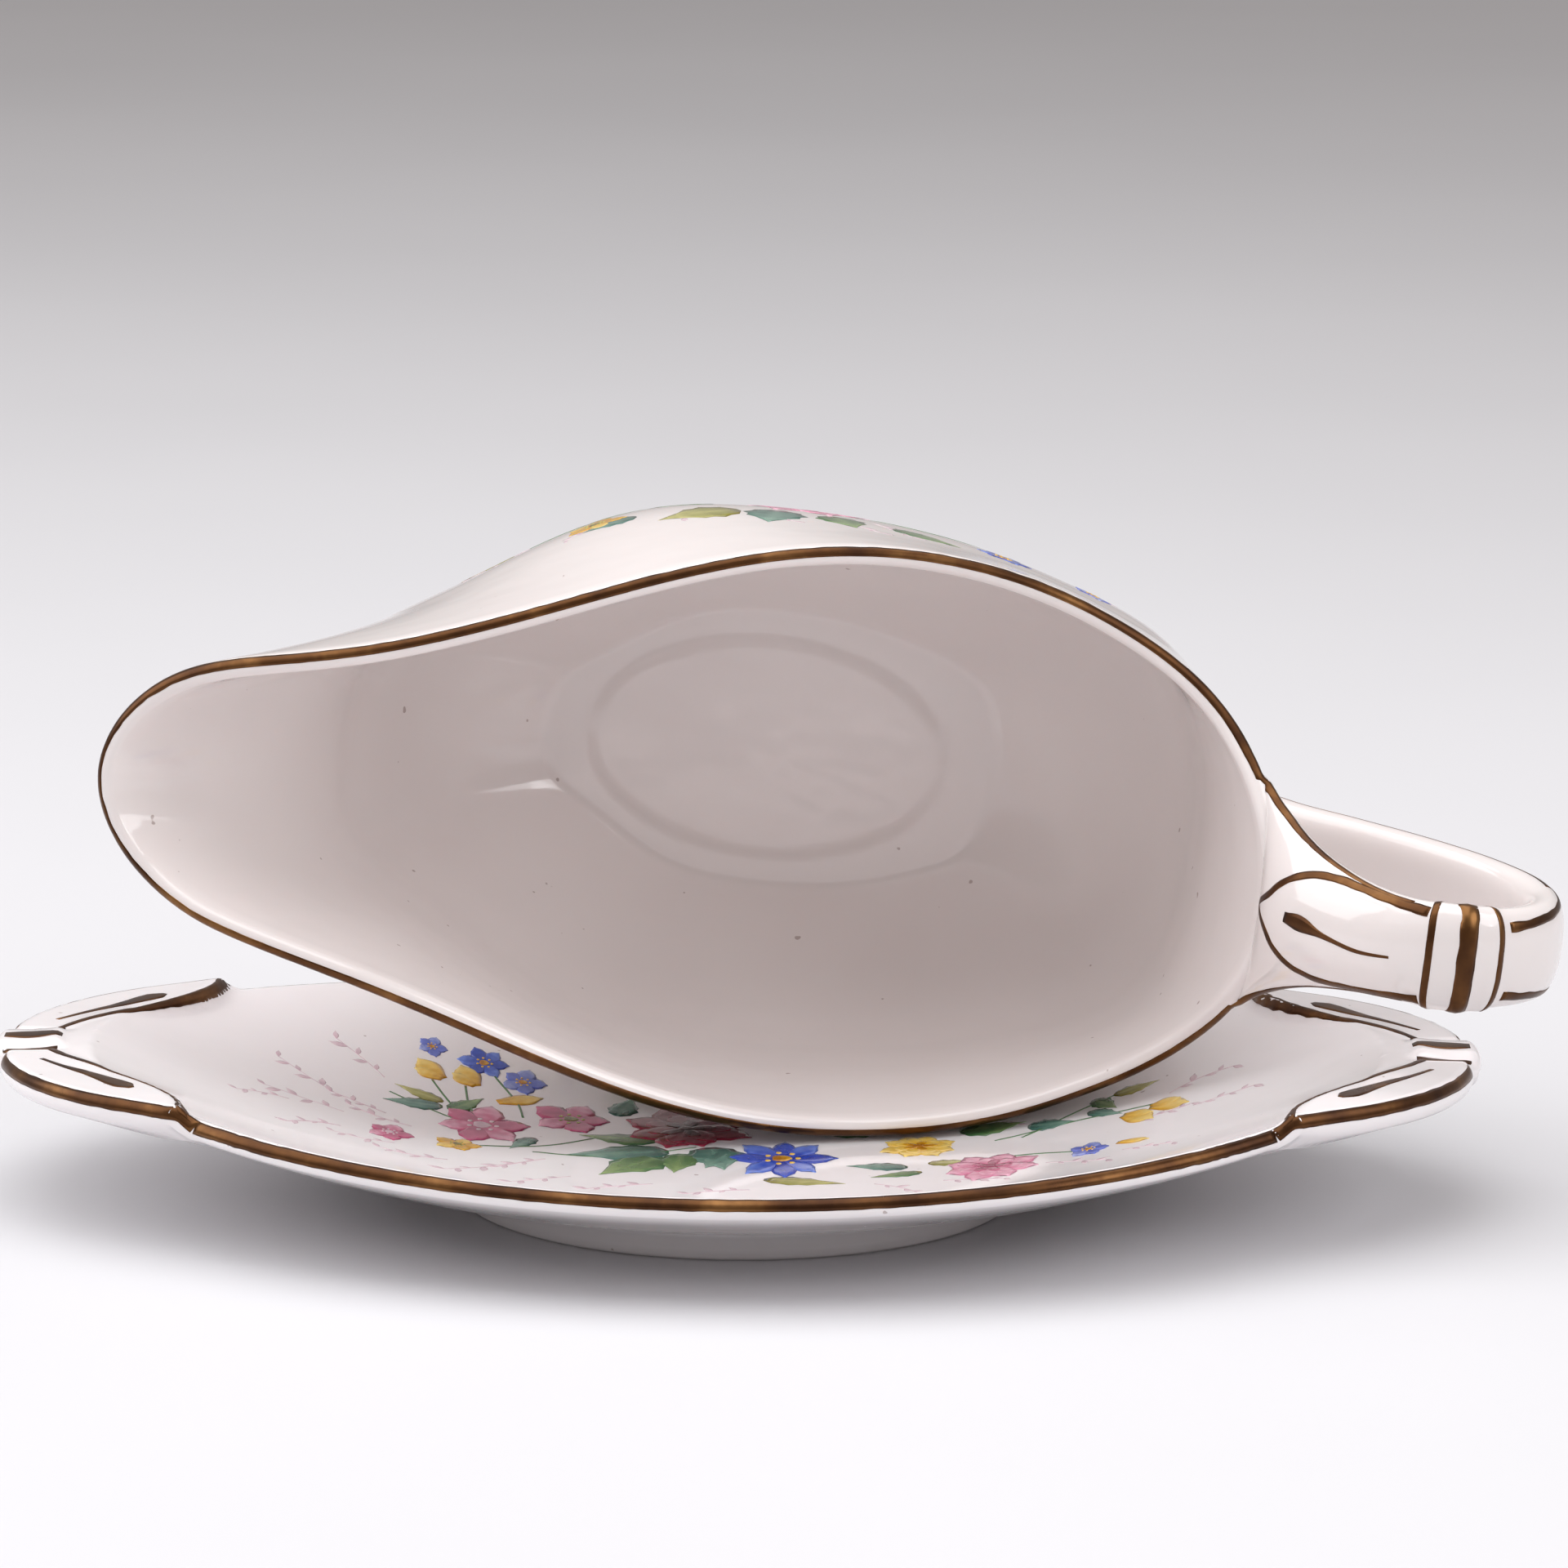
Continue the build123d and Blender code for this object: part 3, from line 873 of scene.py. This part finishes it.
class Print(Paint):
    """Flowers, leaves and sprigs laid on a surface. lay turns two lengths on it into a place on it."""

    def __init__(self, surface, seed, lay=None):
        super().__init__(surface)
        self.lay, self.seed = lay, seed
        self.piled = 0.0

    def plate(self, points, columns, lift, colours=None):
        """Each patch lies a hair above the ones printed before it."""
        self.piled += PATCH_STEP
        super().plate(points, columns, lift + self.piled, colours)

    def chance(self, low, high):
        """The next number of a row that looks random and is the same in every run."""
        self.seed += 1.37
        return low + (high - low) * (0.5 + 0.5 * sin(self.seed * 12.9898) * cos(self.seed * 4.1414))

    def petal(self, base, turn, length, width, colours, lift, squash=1.0, jag=0.0, blunt=1.6, vein=False,
              point=0.5):
        """A petal or a leaf that grows from base in a direction."""
        points, shades = [], []
        deep, middle, pale = colours
        for r in range(PETAL_ROWS):
            t = r / (PETAL_ROWS - 1)
            half = width / 2 * sin(pi * min(0.985, 0.06 + 0.94 * t ** blunt)) ** point
            half *= 1 + jag * (1 if r % 2 else -1)
            for c in range(PETAL_COLUMNS):
                side = 2 * c / (PETAL_COLUMNS - 1) - 1
                u = t * length - 0.12 * length * side * side * t
                v = side * half
                x = u * cos(turn) - v * sin(turn)
                y = (u * sin(turn) + v * cos(turn)) * squash
                points.append(self.lay(base[0] + x, base[1] + y))
                tone = min(1.0, max(0.0, 0.25 + 0.75 * t + self.chance(-0.16, 0.16)))
                shade = deep + (middle - deep) * min(1, 2 * tone) + (pale - middle) * max(0, 2 * tone - 1)
                if vein and c == PETAL_COLUMNS // 2:
                    shade = 0.55 * shade + 0.45 * pale
                elif abs(side) > 0.9:
                    shade = 0.45 * shade + 0.55 * deep
                shades.append(shade)
        self.plate(points, PETAL_COLUMNS, lift, shades)

    def dot(self, at, size, colours, lift, squash=1.0):
        """A round spot, printed as a short petal."""
        self.petal((at[0] - size / 2, at[1]), 0.0, size, size * 0.95, colours, lift, squash, blunt=1.0)

    def blossom(self, at, size, colours, heart=YELLOW, petals=6, squash=1.25, turn=0.0):
        """An open flower with notched petals round a heart."""
        for k in range(petals):
            a = turn + 2 * pi * k / petals + self.chance(-0.12, 0.12)
            reach = size / 2 * self.chance(0.88, 1.06)
            deep, middle, pale = colours
            tone = (deep, middle, pale) if k % 2 else (deep, 0.5 * (deep + middle), middle)
            self.petal(at, a, reach, 0.66 * reach * 6 / petals, tone, 0.03, squash, 0.05)
        self.dot(at, size * 0.2, (heart[0], heart[0], heart[1]), 0.09, squash)
        for k in range(7):
            a = 2 * pi * k / 7
            place = (at[0] + size * 0.14 * cos(a), at[1] + size * 0.14 * sin(a) * squash)
            self.dot(place, size * 0.055, (heart[1], heart[1], heart[2]), 0.1, squash)

    def rose(self, at, size, colours, squash):
        """A full-blown flower of curled petals, one ring over another."""
        deep, middle, pale = colours
        for ring, (count, reach) in enumerate(((8, 0.5), (7, 0.38), (5, 0.25))):
            tone = ((middle, middle, pale), (deep, middle, pale), (deep, deep, middle))[ring]
            for k in range(count):
                a = 0.4 + ring * 0.45 + 2 * pi * k / count + self.chance(-0.15, 0.15)
                self.petal(at, a, size * reach * self.chance(0.88, 1.08), size * reach * 0.66, tone,
                           0.04 + 0.016 * ring, squash, 0.06)
        self.dot(at, size * 0.14, (deep, deep, deep), 0.1, squash)

    def leaf(self, at, turn, length, width, colours, squash):
        self.petal(at, turn, length, width, colours, 0.035, squash, 0.09, 0.8, True, 0.9)

    def stem(self, path, width=0.35, colours=GREEN):
        self.stroke([self.lay(*p) for p in path], width, 0.03, colours[1], ragged=0.2, seed=path[0][0])

    def sprig(self, at, turn, length, squash):
        """A pale spray: a thin bent stalk with small leaves on both sides."""
        bend = self.chance(-0.5, 0.5)
        stalk = []
        for k in range(6):
            t = k / 5
            a = turn + bend * t
            stalk.append((at[0] + t * length * cos(a), at[1] + t * length * sin(a) * squash))
        self.stem(stalk, 0.18, FAINT)
        for k in range(1, 6):
            side = (1, -1)[k % 2]
            reach = length * self.chance(0.15, 0.27)
            self.petal(stalk[k], turn + bend * k / 5 + side * self.chance(0.5, 1.1), reach, reach * 0.42,
                       FAINT, 0.02, squash, 0, 1.1, False, 0.9)

    def greenery(self, sprigs, stems, leaves, squash):
        """All that lies under the flowers."""
        for x, y, turn, length in sprigs:
            self.sprig((x, y), turn, length, squash)
        for path in stems:
            self.stem(path)
        for x, y, turn, length, width, colours in leaves:
            self.leaf((x, y), turn, length, width, colours, squash)


# Each sprig is (x, y, direction, length). A leaf also has its width and its colours.
STAND_SPRIGS = (
    (-58, 8, 2.9, 12), (-60, 16, 2.5, 11), (-66, 7, 3.2, 8), (-53, 27, 2.2, 11), (-50, -3, 3.5, 9),
    (-33, -6, 3.9, 12), (-24, -12, 3.6, 10), (33, 12, 0.6, 9), (64, 15, 0.7, 10), (67, 6, 0.1, 9),
    (45, -9, -0.4, 10), (20, -15, -0.3, 9), (56, -10, -0.2, 8), (-52, 12, 2.7, 9), (-48, 8, 3.0, 10),
    (-42, -8, 3.4, 10), (-12, -16, 3.3, 10), (2, -19, 3.2, 9), (30, -14, -0.1, 9), (58, 6, 0.0, 9),
    (-58, 0, 3.3, 9), (-28, -2, 3.7, 9))
STAND_STEMS = (
    [(-37, 10), (-42, 20), (-46, 30)], [(-37, 12), (-40, 22), (-41, 30)], [(-37, 12), (-46, 18), (-52, 22)],
    [(-20, 12), (-28, 6), (-38, 3)], [(-6, 6), (-18, 0), (-30, 2)], [(30, -4), (42, -2), (52, -6)],
    [(38, 8), (50, 12), (62, 12)], [(42, 8), (50, 16), (56, 20)], [(-32, 20), (-33, 26), (-38, 38)])
STAND_LEAVES = (
    (-44, 22, 2.75, 8, 3.0, OLIVE), (-44, 20, 3.3, 9, 4.0, TEAL), (-43, 19, 0.9, 8, 3.4, GREEN),
    (-30, 10, 4.2, 7, 3.2, TEAL), (-18, 24, 1.3, 8, 4.5, TEAL), (-12, 9, 2.85, 12, 5.5, GREEN),
    (-10, 3, 3.25, 15, 8.0, TEAL), (-11, 0, 3.95, 13, 8.5, GREEN), (-8, 2, 4.6, 10, 6.0, GREEN),
    (-4, 6, 4.9, 12, 8.5, TEAL), (-1, 3, 4.3, 9, 6.0, TEAL), (4, -13, -0.15, 12, 4.0, OLIVE),
    (14, 14, 0.5, 12, 6.0, GREEN), (25, -5, 3.1, 9, 3.8, TEAL), (27, -8, 3.5, 8, 2.6, GREEN),
    (28, -3, 0.05, 7, 3.0, OLIVE), (33, 14, 0.15, 10, 6.0, GREEN), (43, 13, -0.1, 7, 4.5, TEAL),
    (53, 20, -1.0, 6, 3.2, GREEN), (56, 20, 0.2, 7, 3.0, OLIVE), (52, 15, -0.6, 6, 3.0, TEAL))


def print_stand():
    """One wide spray across the well of the stand."""
    spray = Print(stand_skin, 3.0, on_stand)
    spray.greenery(STAND_SPRIGS, STAND_STEMS, STAND_LEAVES, 1.15)
    spray.blossom((-46.5, 41), 5.0, SKY, petals=5)
    spray.blossom((-38.5, 39), 8.0, BLUE, petals=6, squash=1.3)
    spray.blossom((-32.5, 34.5), 7.5, SKY, petals=5)
    for at, turn in (((-44.5, 31), 2.3), ((-39.5, 30.5), 2.0), ((61, 11), -0.35), ((57, 10), -0.8)):
        spray.petal(at, turn, 6.0, 4.2, YELLOW, 0.05, 1.2)
        spray.petal(at, turn + 0.5, 4.6, 3.0, YELLOW, 0.056, 1.2)
    spray.petal((-36, 25.5), 0.45, 7.5, 3.4, YELLOW, 0.05, 1.2)
    spray.blossom((-41, 2.2), 7.5, YELLOW, OLIVE, 5, 1.0)
    spray.blossom((-37.8, 14), 15.0, PINK, FAINT, 6, 1.25, 0.3)
    spray.blossom((-24.8, 21), 12.5, PINK, OLIVE, 5, 1.25)
    spray.blossom((-51, 2.5), 7.5, PINK, FAINT, 5, 1.2)
    spray.rose((-7.5, 17), 20.0, RED, 1.25)
    spray.blossom((6.7, -0.7), 16.6, BLUE, YELLOW, 8, 1.42)
    spray.rose((26.8, 7), 12.0, YELLOW, 1.1)
    spray.rose((37, -7.5), 14.5, PINK, 1.15)
    spray.blossom((51.3, -5.2), 6.5, SKY, petals=5)
    spray.petal((55.5, -4.5), -0.4, 5.0, 2.6, YELLOW, 0.05)
    return spray.object("stand_flower_print", printed)


BOAT_SPRIGS = (
    (-12, 44, 2.2, 9), (-6, 46, 1.1, 8), (6, 45, 1.3, 10), (10, 43, 0.8, 10), (-40, 38, 2.6, 9),
    (-30, 42, 2.3, 8), (40, 34, 0.5, 8), (-22, 20, 3.6, 9))
BOAT_STEMS = (
    [(-4, 30), (-18, 34), (-32, 38)], [(-32, 38), (-40, 38), (-47, 37)], [(4, 32), (16, 38), (28, 36)],
    [(28, 36), (36, 34), (41, 35)])
BOAT_LEAVES = (
    (-42, 38, 2.95, 8, 4.0, OLIVE), (-25, 45, 2.9, 8, 5.0, TEAL), (-10, 45, 2.7, 13, 9.0, OLIVE),
    (-13, 34, 3.0, 11, 6.5, GREEN), (-4, 43, 1.7, 12, 9.0, TEAL), (4, 43, 1.2, 10, 7.5, GREEN),
    (13, 46, 0.35, 11, 5.5, GREEN), (17, 33, 0.1, 9, 4.5, OLIVE), (-14, 22, 3.7, 10, 5.5, GREEN),
    (12, 22, -0.5, 10, 5.5, TEAL), (26, 28, -0.3, 9, 4.0, GREEN))
# Each blossom is (place, size, colours, colours of its heart, petals).
BOAT_BLOSSOMS = (((-17, 27), 10.0, RED, YELLOW, 5), ((-31, 43), 9.0, YELLOW, OLIVE, 5),
                 ((17, 27), 10.0, YELLOW, OLIVE, 5), ((30, 43), 8.5, BLUE, YELLOW, 6),
                 ((44, 41), 6.5, SKY, YELLOW, 5), ((-28, 25), 6.5, SKY, YELLOW, 5))


def print_boat():
    """The same spray on both outer sides of the bowl."""
    spray = Print(boat_skin, 9.0)
    for side in (1, -1):
        def on_side(x, h):
            ring = bowl_at(np.full((1, COLUMNS), float(h)))[0]
            upper = ring[:COLUMNS // 2 + 1]
            return from_boat([x, side * np.interp(x, upper[:, 0], upper[:, 1]), h])

        spray.lay = on_side
        spray.greenery(BOAT_SPRIGS, BOAT_STEMS, BOAT_LEAVES, 1.0)
        spray.rose((0, 33), 20.0, PINK, 1.0)
        for at, size, colours, heart, petals in BOAT_BLOSSOMS:
            spray.blossom(at, size, colours, heart, petals, 1.0)
    return spray.object("boat_flower_print", printed)


stand_print = print_stand()
boat_print = print_boat()

# ---- who stands for what, and what moves
for piece, node, body in ((boat_bowl, "boat_bowl", "boat"), (boat_foot, "boat_foot", "boat"),
                          (boat_handle, "boat_handle", "boat"), (stand_ring, "stand_foot_ring", "stand")):
    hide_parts(node)
    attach(piece, body)
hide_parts("stand_dish", "stand_lug_left", "stand_lug_right")
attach(stand_dish, "stand")
for piece, body in ((boat_rim_gilding, "boat"), (boat_handle_gilding, "boat"), (stand_gilding, "stand")):
    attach(piece, body)
for piece, body in ((boat_print, "boat"), (stand_print, "stand")):
    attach(piece, body)

# ---- floor, light and camera
FLOOR_HALF = 3.0                # metres, like every length below


def floor_material():
    material, tree, shader = nodes_of("pale_floor")
    cloud = noise_node(tree, 3.0, 3.0)
    colour = ramp_node(tree, cloud, [(0.3, (0.67, 0.67, 0.69)), (0.7, (0.70, 0.70, 0.72))])
    dial(shader, {"Base Color": colour, "Roughness": 0.5})
    return material


def stage_floor():
    mesh = bpy.data.meshes.new("floor")
    corners = [(sx * FLOOR_HALF, sy * FLOOR_HALF, 0) for sx, sy in ((-1, -1), (1, -1), (1, 1), (-1, 1))]
    mesh.from_pydata(corners, [], [(0, 1, 2, 3)])
    mesh.materials.append(floor_material())
    obj = scene_object("floor", mesh)


COOL, WARM, WHITE = (0.985, 0.985, 1.0), (1.0, 0.985, 0.985), (1, 1, 1)
# Name, place, what it points at, size, power and colour.
LIGHTS = (("overhead", (-0.1, 0.0, 1.05), (0, 0.0, 0.03), (1.5, 1.2), 12.5, COOL),
          ("left", (-1.1, 0.05, 0.75), (0, -0.02, 0.02), (1.1, 0.9), 8.0, COOL),
          ("right", (1.0, -0.4, 0.75), (0.02, -0.02, 0.02), (0.9, 0.7), 5.2, COOL),
          ("front_top", (-0.5, -0.8, 0.7), (0, 0.02, 0.03), (0.8, 0.5), 0.5, WARM),
          ("window", (0.6, -0.55, 0.42), (0.03, 0, 0.05), (0.16, 0.24), 0.35, WHITE))


def area_light(name, place, aim, size, power, colour):
    light = bpy.data.lights.new(name, "AREA")
    light.shape = "RECTANGLE"
    light.size, light.size_y = size
    light.energy = power
    light.color = colour
    obj = scene_object(name, light)
    obj.location = place
    obj.rotation_euler = (Vector(aim) - Vector(place)).to_track_quat("-Z", "Y").to_euler()


CAMERA_PLACE = (0.0065, -1.1015, 0.2814)
CAMERA_DIP, CAMERA_LEAN = radians(11.33), radians(0.45)
CAMERA_LENS = 177.75            # in mm, for a sensor 36 mm wide


def stage_camera():
    """The camera looks at the stand's long side from a little above."""
    camera = bpy.data.cameras.new("camera")
    camera.sensor_width = 36.0
    camera.lens = CAMERA_LENS
    camera.clip_end = 20.0
    obj = scene_object("camera", camera)
    obj.matrix_world = (Matrix.Translation(CAMERA_PLACE) @ Matrix.Rotation(pi / 2 - CAMERA_DIP, 4, "X")
                        @ Matrix.Rotation(CAMERA_LEAN, 4, "Z"))
    bpy.context.scene.camera = obj


def stage_light():
    """A pale room with soft lights above and on both sides, a faint one in front and a small window."""
    scene = bpy.context.scene
    world = bpy.data.worlds.new("studio")
    scene.world = world
    world.use_nodes = True
    background = world.node_tree.nodes["Background"]
    dial(background, {"Color": (1.0, 0.93, 0.905, 1), "Strength": 0.36})
    for light in LIGHTS:
        area_light(*light)
    scene.view_settings.view_transform = "Standard"
    scene.view_settings.look = "None"


stage_floor()
stage_camera()
stage_light()
